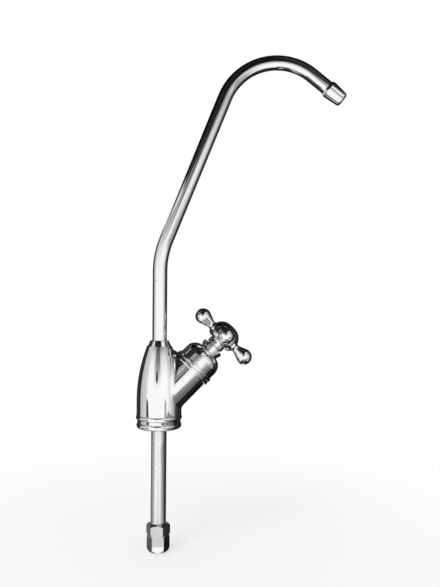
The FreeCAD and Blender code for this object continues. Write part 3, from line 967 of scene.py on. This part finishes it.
def make_compression_nut():
    low = compression_nut_low
    high = low + compression_nut_height
    corner = compression_nut_flats / sqrt(3)
    face = compression_nut_flats / 2 * nut_face_share
    lean = radians(nut_chamfer_lean)
    centre = (corner - nut_end_round, low + nut_end_round)

    def bands_of(reach):
        widest = asin(min(1.0, (reach - centre[0]) / nut_end_round))
        ways = [(sin(a), -cos(a)) for a in np.linspace(0, widest, nut_arc_steps + 1)]
        places = [(centre[0] + nut_end_round * r, centre[1] + nut_end_round * z) for r, z in ways]
        return [
            (supply_bore, low, DOWN),
            *((*place, a, b) for place, a, b in zip(places, ways, ways[1:])),
            (reach, places[-1][1], FLAT),
            (reach, high - (reach - face) * tan(lean), (sin(lean), cos(lean))),
            (face, high, UP), (nut_bore, high, INWARD), (nut_bore, ferrule_cone_top, ferrule_cone_way),
            (supply_bore + supply_lip, ferrule_cone_foot, UP), (supply_bore, ferrule_cone_foot, INWARD),
        ]

    make_nut("supply_nut", "compression_nut", compression_nut_flats, compression_nut_turn, bands_of)


def make_collar():
    top = body_height + collar_height
    turned_piece("swivel_collar", "valve", "spout_collar", [
        (collar_bore, body_height), (collar_radius, body_height), (collar_top_radius, top, collar_round),
        (collar_bore, top),
    ])


def make_bonnet():
    inner = bonnet_radius - bonnet_wall
    bead_top = branch_length + bonnet_bead_width
    ceiling = bonnet_top - bonnet_wall
    turned_piece("bonnet_dome", "valve", "bonnet_cover", [
        (inner, branch_length), (branch_bead_radius, branch_length, branch_bead_round),
        (branch_bead_radius, bead_top, branch_bead_round), (bonnet_radius, bead_top),
        (bonnet_radius - bonnet_taper, bonnet_top, bonnet_crown_round), (bonnet_hole, bonnet_top),
        (bonnet_hole, ceiling), (inner - bonnet_taper, ceiling, bonnet_crown_round - bonnet_wall),
    ], ON_BRANCH)


def make_bonnet_nut():
    neck_end = bonnet_top + bonnet_nut_neck
    nut_top = bonnet_top + bonnet_nut_height
    boss_top = nut_top + bonnet_nut_boss
    roof = nut_top - bonnet_nut_roof
    turned_piece("bonnet_clamp_nut", "valve", "bonnet_nut", [
        (bonnet_nut_thread, bonnet_top), (bonnet_nut_neck_radius, bonnet_top),
        (bonnet_nut_neck_radius, neck_end), (bonnet_nut_radius, neck_end, bonnet_nut_round),
        (bonnet_nut_radius, nut_top, bonnet_nut_round), (bonnet_nut_boss_radius, nut_top),
        (bonnet_nut_boss_radius, boss_top), (bonnet_nut_hole, boss_top), (bonnet_nut_hole, roof),
        (bonnet_nut_thread, roof),
    ], ON_BRANCH)


def hub_profile():
    return [
        (0, hub_low), (skirt_radius, hub_low), (hub_radius, hub_low + hub_floor_drop, hub_low_round),
        (hub_radius, hub_top, hub_crown_round), (0, hub_top),
    ]


def arm_profile():
    span = arm_bulb_at - arm_neck_at
    flare = asin(arm_bulb_radius / hypot(arm_neck_radius, span)) - atan(arm_neck_radius / span)
    tip = arm_bulb_at + arm_bulb_radius
    wide = arm_neck_radius + (tip - arm_neck_at) * tan(flare)
    return [
        (0, 0), (arm_root_radius, 0), (arm_neck_radius, arm_neck_at, arm_neck_at / 2),
        (wide, tip, arm_bulb_radius * FULL_ARC), (0, tip),
    ]


def arm_placing(k):
    """Arm k's own axis, square to the branch's axis."""
    turn = turn_about_z(radians(90 * k + arm_turn)) @ turn_about_y(pi / 2)
    return Placing(ON_BRANCH.turn @ turn, ON_BRANCH.points(np.array([[0, 0, arm_axis]]))[0])


def part_way(step, share):
    """The place and the normal at a share of a step."""
    start, end, way_start, way_end = step
    way = way_start + (way_end - way_start) * share
    return start + (end - start) * share, unit(way)


def split_steps(steps, height):
    """Steps of a profile up to a height, and from it on, for a profile that rises."""
    below = []
    above = []
    for step in steps:
        start, end, way_start, way_end = step
        if end[1] <= height + TINY:
            below.append(step)
        elif start[1] >= height - TINY:
            above.append(step)
        else:
            place, way = part_way(step, (height - start[1]) / (end[1] - start[1]))
            below.append((start, place, way_start, way))
            above.append((place, end, way, way_end))
    return below, above


def make_handle():
    """Hub, skirt and four bulb-ended arms, with blended roots."""
    hub = rounded(hub_profile())
    arm = rounded(arm_profile())
    rough = Shape()
    lathe(rough, sampled(hub), ON_BRANCH, ROUGH_SIDES)
    hub_field = turned_field(wall_of(hub, skirt_radius - hub_wall_margin), ON_BRANCH)
    fields = []
    for k in range(4):
        placing = arm_placing(k)
        lathe(rough, sampled(arm), placing, ARM_SIDES)
        arm_field = turned_field(wall_of(arm, SAME), placing)
        fields.append(blended(hub_field, arm_field, arm_root_blend))
    low, high = ON_BRANCH.points(np.array([[0, 0, hub_blend_low], [0, 0, hub_blend_high]]))
    along = ON_BRANCH.turn @ np.array([0, 0, 1.0])
    shape = Shape()
    cast_skin(shape, rough, nearest_of(fields), handle_voxel, [(low, -along), (high, along)])
    rising = [step for step in sampled(hub) if step[1][1] > step[0][1]]
    below, rest = split_steps(rising, hub_blend_low)
    rim = [step for step in split_steps(rest, hub_blend_high)[1] if step[0][0] > cap_radius]
    last = rim.pop()
    edge, way = part_way(last, (last[0][0] - cap_radius) / (last[0][0] - last[1][0]))
    lathe(shape, below + rim + [(last[0], edge, last[2], way)], ON_BRANCH)
    seat = (cap_radius, hub_top - cap_thickness)
    lathe(shape, [(edge, seat, INWARD, INWARD), (seat, (0.0, seat[1]), UP, UP)], ON_BRANCH)
    floor = skirt_low + recess_depth
    skirt_top = hub_low + skirt_overlap
    turned(shape, [
        (recess_radius, skirt_low), (skirt_radius, skirt_low, skirt_round), (skirt_radius, skirt_top),
        (spindle_half, skirt_top), (spindle_half, floor), (recess_radius, floor),
    ], ON_BRANCH)
    shape.piece("cross_grip", "handle", "cross_handle")


def make_cap():
    """Flush button with the same crown as the hub round it."""
    radius = cap_radius - cap_gap
    steps = []
    for step in sampled(rounded(hub_profile())):
        start, end, _, way_end = step
        if start[1] < hub_top - hub_crown_round or end[0] >= radius:
            continue
        if start[0] > radius:
            place, way = part_way(step, (start[0] - radius) / (start[0] - end[0]))
            step = (place, end, way, way_end)
        steps.append(step)
    foot = (radius, hub_top - cap_thickness)
    side = [((0.0, foot[1]), foot, DOWN, DOWN), (foot, steps[0][0], OUTWARD, OUTWARD)]
    shape = Shape()
    lathe(shape, side + steps, ON_BRANCH)
    shape.piece("hub_button", "handle", "handle_cap")


def bent(lean):
    """Direction square to a line that leans from upright, on the side that it leans to."""
    return np.array([cos(lean), -sin(lean)])


def arc_places(start, lean, turn, radius, steps):
    """Places along an arc that bends away from upright, from a start and its lean."""
    centre = start + bent(lean) * radius
    leans = [lean + turn * k / steps for k in range(steps + 1)]
    return [(centre - bent(angle) * radius, angle) for angle in leans]


def spout_line():
    """Points of the spout's centre line with their leans, in the plane of the spout, and its end."""
    lean = radians(spout_lean)
    dip = radians(outlet_dip)
    turn = pi / 2 - lean + dip
    rising = np.array([sin(lean), cos(lean)])
    arch_reach = arch_radius * tan(turn / 2)
    bend_foot = np.array([0.0, spout_bend_height - spout_bend_radius * tan(lean / 2)])
    arch = np.array([0.0, spout_bend_height]) + rising * (spout_run + arch_reach)
    end = arch + bent(dip) * (arch_reach + spout_end_run)
    places = [(np.array([0.0, spout_foot]), 0.0)]
    places += arc_places(bend_foot, 0.0, lean, spout_bend_radius, spout_bend_steps)
    places += arc_places(arch - rising * arch_reach, lean, turn, arch_radius, arch_steps)
    places.append((end, lean + turn))
    return places, end


def make_tube():
    """Bent gooseneck with a real wall."""
    angles = np.arange(SIDES) * 2 * pi / SIDES
    shape = Shape()
    for radius, sense in ((tube_radius, 1), (tube_radius - tube_wall, -1)):
        points = []
        normals = []
        for place, lean in spout_line()[0]:
            out = np.stack([np.cos(angles) * cos(lean), np.sin(angles), -np.cos(angles) * sin(lean)], 1)
            points.append(np.array([place[0], 0, place[1]]) + out[::sense] * radius)
            normals.append(out[::sense] * sense)
        grid(shape, np.array(points), np.array(normals), ON_SPOUT)
    shape.piece("gooseneck", "spout", "spout_tube")


def outlet_placing():
    end = spout_line()[1]
    turn = ON_SPOUT.turn @ turn_about_y(pi / 2 + radians(outlet_dip))
    return Placing(turn, ON_SPOUT.points(np.array([[end[0], 0, end[1]]]))[0])


def make_tip():
    socket = tube_radius + braze_gap
    start = -tip_over_tube
    end = tip_length - tip_over_tube
    turned_piece("outlet_sleeve", "spout", "spout_tip", [
        (socket, start), (tube_radius + tip_mouth_lip, start),
        (tip_radius, start + tip_shoulder_round, tip_shoulder_round),
        (tip_end_radius, end, tip_end_round), (tip_bore, end), (tip_bore, 0), (socket, 0),
    ], outlet_placing())


# Studio

def toward_camera():
    turn = radians(view_turn)
    right = np.array([cos(turn), -sin(turn), 0.0])
    ahead = np.array([sin(turn), cos(turn), 0.0])
    return right, ahead


def make_camera():
    right, ahead = toward_camera()
    place = (right * view_right - ahead * view_distance + np.array([0, 0, view_height])) * MM
    camera_data = bpy.data.cameras.new("camera")
    camera_data.sensor_fit = "VERTICAL"
    camera_data.sensor_height = sensor_size
    camera_data.lens = sensor_size * focal_pixels / picture_height_pixels
    camera_data.clip_start = nearest_seen
    camera = add_object("camera", camera_data)
    level = Matrix.Rotation(-radians(view_turn), 4, "Z") @ Matrix.Rotation(pi / 2, 4, "X")
    camera.matrix_world = Matrix.Translation(place) @ level @ Matrix.Rotation(radians(view_roll), 4, "Z")
    bpy.context.scene.camera = camera


# Floor: half its width and where it fades to white, in metres, how much of the white it has near the
# tap, and its colour
floor_half = 4.0
floor_fade = (0.05, 0.4)
floor_white_near = 0.45
floor_colour = (0.9, 0.9, 0.9, 1)


def corners_of(x, y, height):
    """Corners of a level rectangle over two ranges."""
    return [(x[0], y[0], height), (x[1], y[0], height), (x[1], y[1], height), (x[0], y[1], height)]


def make_stage(name, points, faces, material):
    """A part of the studio, which isn't part of the object. Points are in metres."""
    mesh = bpy.data.meshes.new(name)
    mesh.from_pydata(points, [], faces)
    mesh.materials.append(material)
    made = add_object(name, mesh)
    return made


def make_floor():
    """Pale floor that the tap's lowest nut stands on. It fades to the white of the background."""
    material, n = new_material("floor")
    away = n.length(n.along(n.here(), (1, 0, 0)), n.along(n.here(), (0, 1, 0)))
    seen = n.seen_by("Is Camera Ray", "Is Glossy Ray", "Is Transmission Ray")
    share = n.times(seen, n.step(away, *floor_fade, floor_white_near, 1.0))
    matt = n.make("ShaderNodeBsdfDiffuse", {"Color": floor_colour}).outputs[0]
    glow = n.make("ShaderNodeEmission", {"Color": WHITE, "Strength": 1.0}).outputs[0]
    n.surface({0: share, 1: matt, 2: glow}, "ShaderNodeMixShader")
    span = (-floor_half, floor_half)
    floor = make_stage("floor", corners_of(span, span, cad_box[0][2]), [(0, 1, 2, 3)], material)
    floor.visible_glossy = False


# The studio. Azimuths and elevations are in degrees, 0 is towards the camera and 90 to its right. Places
# are (to the right, towards the camera, up) in mm. Light runs through (place, light) pairs.

# Brightness of the studio's walls by azimuth, and of what only matt surfaces see
wall_light = [
    (-180, 0.82), (-150, 0.74), (-125, 0.56), (-105, 0.52), (-85, 0.58), (-64, 0.7), (-55, 1.0),
    (45, 1.0), (65, 0.72), (84, 0.4), (98, 0.05), (142, 0.04), (160, 0.16), (176, 0.6), (180, 0.82),
]
matt_light = 0.8

# Dark floor behind: the elevations over which it ends, the azimuths on either side over which it sets
# in, and those over which it gives way to a window straight back
back_floor = (-24.0, -8.0)
back_floor_azimuth = (92.0, 120.0)
back_floor_dark = 0.96
straight_back = (159.0, 171.0)

# Dark upper left: azimuths with their soft edge, and the elevations over which it sets in
high_left = (-172.0, -90.0, 8.0)
high_left_from = (22.0, 28.0)
high_left_dark = 0.95

# The photographer, as azimuths with their soft edge and elevations from foot to head, and the lens,
# whose edge is given in degrees from its middle
figure_azimuth = (-24.0, 12.0, 7.0)
figure_elevation = (0.0, 26.0)
figure_dark = 0.74
lens_azimuth = -8.0
lens_elevation = 12.0
lens_edge = (4.4, 6.6)
lens_dark = 0.97

# Legs of the camera stand: azimuth of the top and of the foot, half widths there, and the darkness
leg_elevation = (-12.0, -4.5)
leg_end = -15.0
leg_sharpness = 6.0
stand_legs = [(-61.0, -56.0, 0.5, 8.0, 0.92), (35.0, 38.0, 1.0, 6.0, 0.6)]

# Dimmer ground either side, that the shank sees: azimuths with their soft edge, the darkness, and the
# elevations with theirs
dim_ground = [(-112.0, -66.0, 12.0, 0.6), (32.0, 78.0, 12.0, 0.5)]
dim_ground_elevation = (-38.0, -13.0, 3.0)

# Black canopy over the tap, with light by the distance from the tap's axis. It reaches less far at
# the sides than in front and at the back.
canopy_height = 290.0
canopy_width = (-340.0, 340.0)
canopy_depth = (-190.0, 340.0)
canopy_narrow = 0.5
canopy_left = (40.0, 75.0)
canopy_right = (18.0, 50.0)
canopy_rear = (94.0, 112.0)
canopy_light = [(0, 0.012), (100, 0.02), (200, 0.035), (262, 0.06), (300, 0.85), (340, 1.0)]

# Veil in front of the tap that dims the light by its height
veil_azimuth = (-64.0, 100.0)
veil_columns = 21
veil_distance = 300.0
veil_light = [(-110, 1.0), (85, 1.0), (140, 0.93), (200, 0.76), (243, 0.5), (290, 0.15)]

# Dark card behind the tap, with a light core straight behind the branch and the body. The core runs
# along the branch, whose band is measured square to it, and up the body.
back_card_depth = -100.0
back_card_outline = [(-36, -40), (220, -40), (220, 330), (96, 330), (-36, 94)]
back_card_dark = 0.02
core_branch = (-22.0, 22.0, 4.0)
core_branch_offset = 21.0
core_branch_end = (60.0, 76.0)
core_body = (-17.0, 25.0, 4.0)
core_body_top = (73.0, 83.0)
core_light = 0.75

# Upright cards: name, the place of each upright edge, the heights, the axis of the light, and the light
left_edges = ((-70.0, -4.5), (-36.0, -100.0))
upright_cards = [
    ("left", *left_edges, (-16.0, 170.0), 2, [(-16, 0.03), (110, 0.03), (130, 0.06), (170, 0.15)]),
    ("shank_left", *left_edges, (-100.0, -16.0), 1, [(-100, 0.05), (-50, 0.1), (-4.5, 0.3)]),
    ("shank_right", (58.0, 4.0), (58.0, 80.0), (-80.0, -8.0), 1, [(4, 0.1), (40, 0.35), (80, 0.8)]),
]

# Level cards: dark ground under the branch, with streaks along it, and a bright card in front of the
# lower nut. Each has its name, its width, its depth, its height and the light by the depth.
level_cards = [
    ("ground", (22.0, 110.0), (-22.0, 92.0), -8.0, [
        (-22, 0.015), (12, 0.015), (19, 0.22), (26, 0.04), (34, 0.3), (41, 0.06), (50, 0.36), (58, 0.1),
        (67, 0.42), (76, 0.14), (92, 0.5),
    ]),
    ("foot", (-30.0, 24.0), (16.0, 220.0), -86.0, [(16, 0.66), (60, 0.7), (110, 0.88), (220, 0.95)]),
]

# Dark flag over the bonnet, beside the tube
flag_width = (-48.0, -14.0)
flag_depth = (-6.0, 58.0)
flag_level = 105.0
flag_light = [(-6, 0.02), (58, 0.03)]


def make_world():
    """White studio with dark parts round it. Only shiny surfaces see the dark parts."""
    world = bpy.data.worlds.new("studio")
    world.use_nodes = True
    bpy.context.scene.world = world
    n = Nodes(world.node_tree)
    right, ahead = toward_camera()
    direction = n.make("ShaderNodeTexCoord").outputs["Generated"]
    azimuth = n.math("ARCTAN2", n.along(direction, right), n.along(direction, -ahead))
    azimuth = n.times(azimuth, degrees(1))
    elevation = n.times(n.math("ARCSINE", n.along(direction, (0, 0, 1))), degrees(1))
    aside = n.math("ABSOLUTE", azimuth)
    behind = n.times(n.step(aside, *back_floor_azimuth), n.step(aside, *straight_back, 1.0, 0.0))
    masks = [(n.times(behind, n.step(elevation, *back_floor, 1.0, 0.0)), back_floor_dark)]
    upper = n.step(elevation, *high_left_from)
    masks.append((n.times(n.window(azimuth, *high_left), upper), high_left_dark))
    figure = n.step(elevation, *figure_elevation)
    masks.append((n.times(n.window(azimuth, *figure_azimuth), figure), figure_dark))
    over_lens = n.math("SUBTRACT", elevation, lens_elevation)
    from_lens = n.length(n.math("SUBTRACT", azimuth, lens_azimuth), over_lens)
    masks.append((n.step(from_lens, *lens_edge, 1.0, 0.0), lens_dark))
    down = n.math("MINIMUM", 1.0, n.times(n.step(elevation, *leg_elevation, 1.0, 0.0), leg_sharpness))
    for top, foot, thin, thick, darkness in stand_legs:
        middle = n.step(elevation, *leg_elevation, foot, top)
        width = n.step(elevation, *leg_elevation, thick, thin)
        beside = n.math("ABSOLUTE", n.math("SUBTRACT", azimuth, middle))
        leg = n.times(n.math("LESS_THAN", beside, width), n.math("GREATER_THAN", elevation, leg_end))
        masks.append((n.times(leg, down), darkness))
    low = n.window(elevation, *dim_ground_elevation)
    for *span, darkness in dim_ground:
        masks.append((n.times(low, n.window(azimuth, *span)), darkness))
    light = n.light_by(azimuth, wall_light)
    for mask, darkness in masks:
        light = n.times(light, n.math("SUBTRACT", 1.0, n.times(mask, darkness)))
    level = n.mix(n.seen_by("Is Glossy Ray"), matt_light, light)
    level = n.mix(n.seen_by("Is Camera Ray", "Is Transmission Ray"), level, 1.0)
    background = n.make("ShaderNodeBackground", {"Color": WHITE, "Strength": level})
    n.make("ShaderNodeOutputWorld", {"Surface": background.outputs[0]})


def make_card(name, points, material, faces=None):
    """A card that only reflections see."""
    right, ahead = toward_camera()
    placed = [((right * x - ahead * y + np.array([0, 0, z])) * MM).tolist() for x, y, z in points]
    card = make_stage(name, placed, faces or [tuple(range(len(points)))], material)
    card.visible_camera = False
    card.visible_diffuse = False
    card.visible_shadow = False
    card.visible_transmission = False


def studio_place(n):
    """Distances to the right, towards the camera and up, in mm, on a card's own surface."""
    right, ahead = toward_camera()
    return [n.along(n.here(), way) for way in (right / MM, -ahead / MM, (0, 0, 1 / MM))]


def glow_card(name, points, axis, light_at):
    """A card with its light along one of the studio's directions."""
    material, n = new_material(f"card_{name}")
    n.glow(n.light_by(studio_place(n)[axis], light_at))
    make_card(f"{name}_card", points, material)


def make_back_card():
    """Dark card with a light core, which only the backs of the body and the branch reflect."""
    material, n = new_material("card_back")
    across, _, up = studio_place(n)
    beside = n.math("SUBTRACT", n.math("SUBTRACT", up, across), core_branch_offset)
    branch = n.window(n.times(beside, 2 ** -0.5), *core_branch)
    branch = n.times(branch, n.step(n.math("ADD", across, up), *core_branch_end, 1.0, 0.0))
    body = n.times(n.window(across, *core_body), n.step(up, *core_body_top, 1.0, 0.0))
    core = n.times(n.math("MAXIMUM", branch, body), core_light)
    n.glow(n.math("MAXIMUM", core, back_card_dark))
    make_card("back_card", [(x, back_card_depth, z) for x, z in back_card_outline], material)


def make_canopy():
    canopy, n = new_material("canopy")
    across, nearer, _ = studio_place(n)
    around = n.times(n.math("ARCTAN2", across, nearer), degrees(1))
    wing = n.math("MAXIMUM", n.step(n.times(around, -1.0), *canopy_left), n.step(around, *canopy_right))
    wing = n.times(wing, n.step(n.math("ABSOLUTE", around), *canopy_rear, 1.0, 0.0))
    reach = n.times(n.length(across, nearer), n.math("ADD", 1.0, n.times(wing, canopy_narrow)))
    n.surface({"Color": n.light_by(reach, canopy_light)}, "ShaderNodeBsdfTransparent")
    make_card("canopy", corners_of(canopy_width, canopy_depth, canopy_height), canopy)


def make_veil():
    veil, n = new_material("veil")
    n.surface({"Color": n.light_by(studio_place(n)[2], veil_light)}, "ShaderNodeBsdfTransparent")
    points = []
    for azimuth in np.linspace(*np.radians(veil_azimuth), veil_columns):
        place = (veil_distance * sin(azimuth), veil_distance * cos(azimuth))
        points += [(*place, veil_light[0][0]), (*place, canopy_height)]
    faces = [(k - 2, k, k + 1, k - 1) for k in range(2, 2 * veil_columns, 2)]
    make_card("veil", points, veil, faces)


def make_cards():
    """Canopy overhead, veil in front, and cards behind, beside and under the tap, and over its bonnet."""
    make_canopy()
    make_veil()
    make_back_card()
    for name, first, second, (low, high), axis, light_at in upright_cards:
        points = [(*first, low), (*second, low), (*second, high), (*first, high)]
        glow_card(name, points, axis, light_at)
    for name, width, depth, height, light_at in level_cards:
        glow_card(name, corners_of(width, depth, height), 1, light_at)
    # The flag lies edge on in the tube's reflection, so the tube shows no mark of it
    slope = (flag_level - view_height) / view_distance
    flag = corners_of(flag_width, flag_depth, flag_level)
    flag = [(x, y, z + slope * (hypot(x, y) - tube_radius)) for x, y, z in flag]
    glow_card("flag", flag, 1, flag_light)


# Lamp that lights the matt surfaces: place and size in metres, power in watts, and the height it aims at
lamp_place = (-0.7, -0.8, 1.1)
lamp_size = 0.7
lamp_watts = 7.0
lamp_aim_height = 0.08


def make_lamp():
    lamp_data = bpy.data.lights.new("key", "AREA")
    lamp_data.size = lamp_size
    lamp_data.energy = lamp_watts
    lamp = add_object("key", lamp_data)
    back = unit(np.array(lamp_place) - (0, 0, lamp_aim_height))
    side = unit(np.cross((0, 0, 1), back))
    turn = np.stack([side, np.cross(back, side), back], 1)
    lamp.matrix_world = Matrix.Translation(lamp_place) @ Matrix(turn.tolist()).to_4x4()
    lamp.visible_glossy = False
    lamp.visible_camera = False


dress_cad_nodes()
make_body()
make_base_ring()
make_shank()
make_mounting_nut()
make_compression_nut()
make_collar()
make_bonnet()
make_bonnet_nut()
make_handle()
make_cap()
make_tube()
make_tip()
make_camera()
make_floor()
make_world()
make_cards()
make_lamp()
bpy.context.scene.view_settings.view_transform = "Standard"
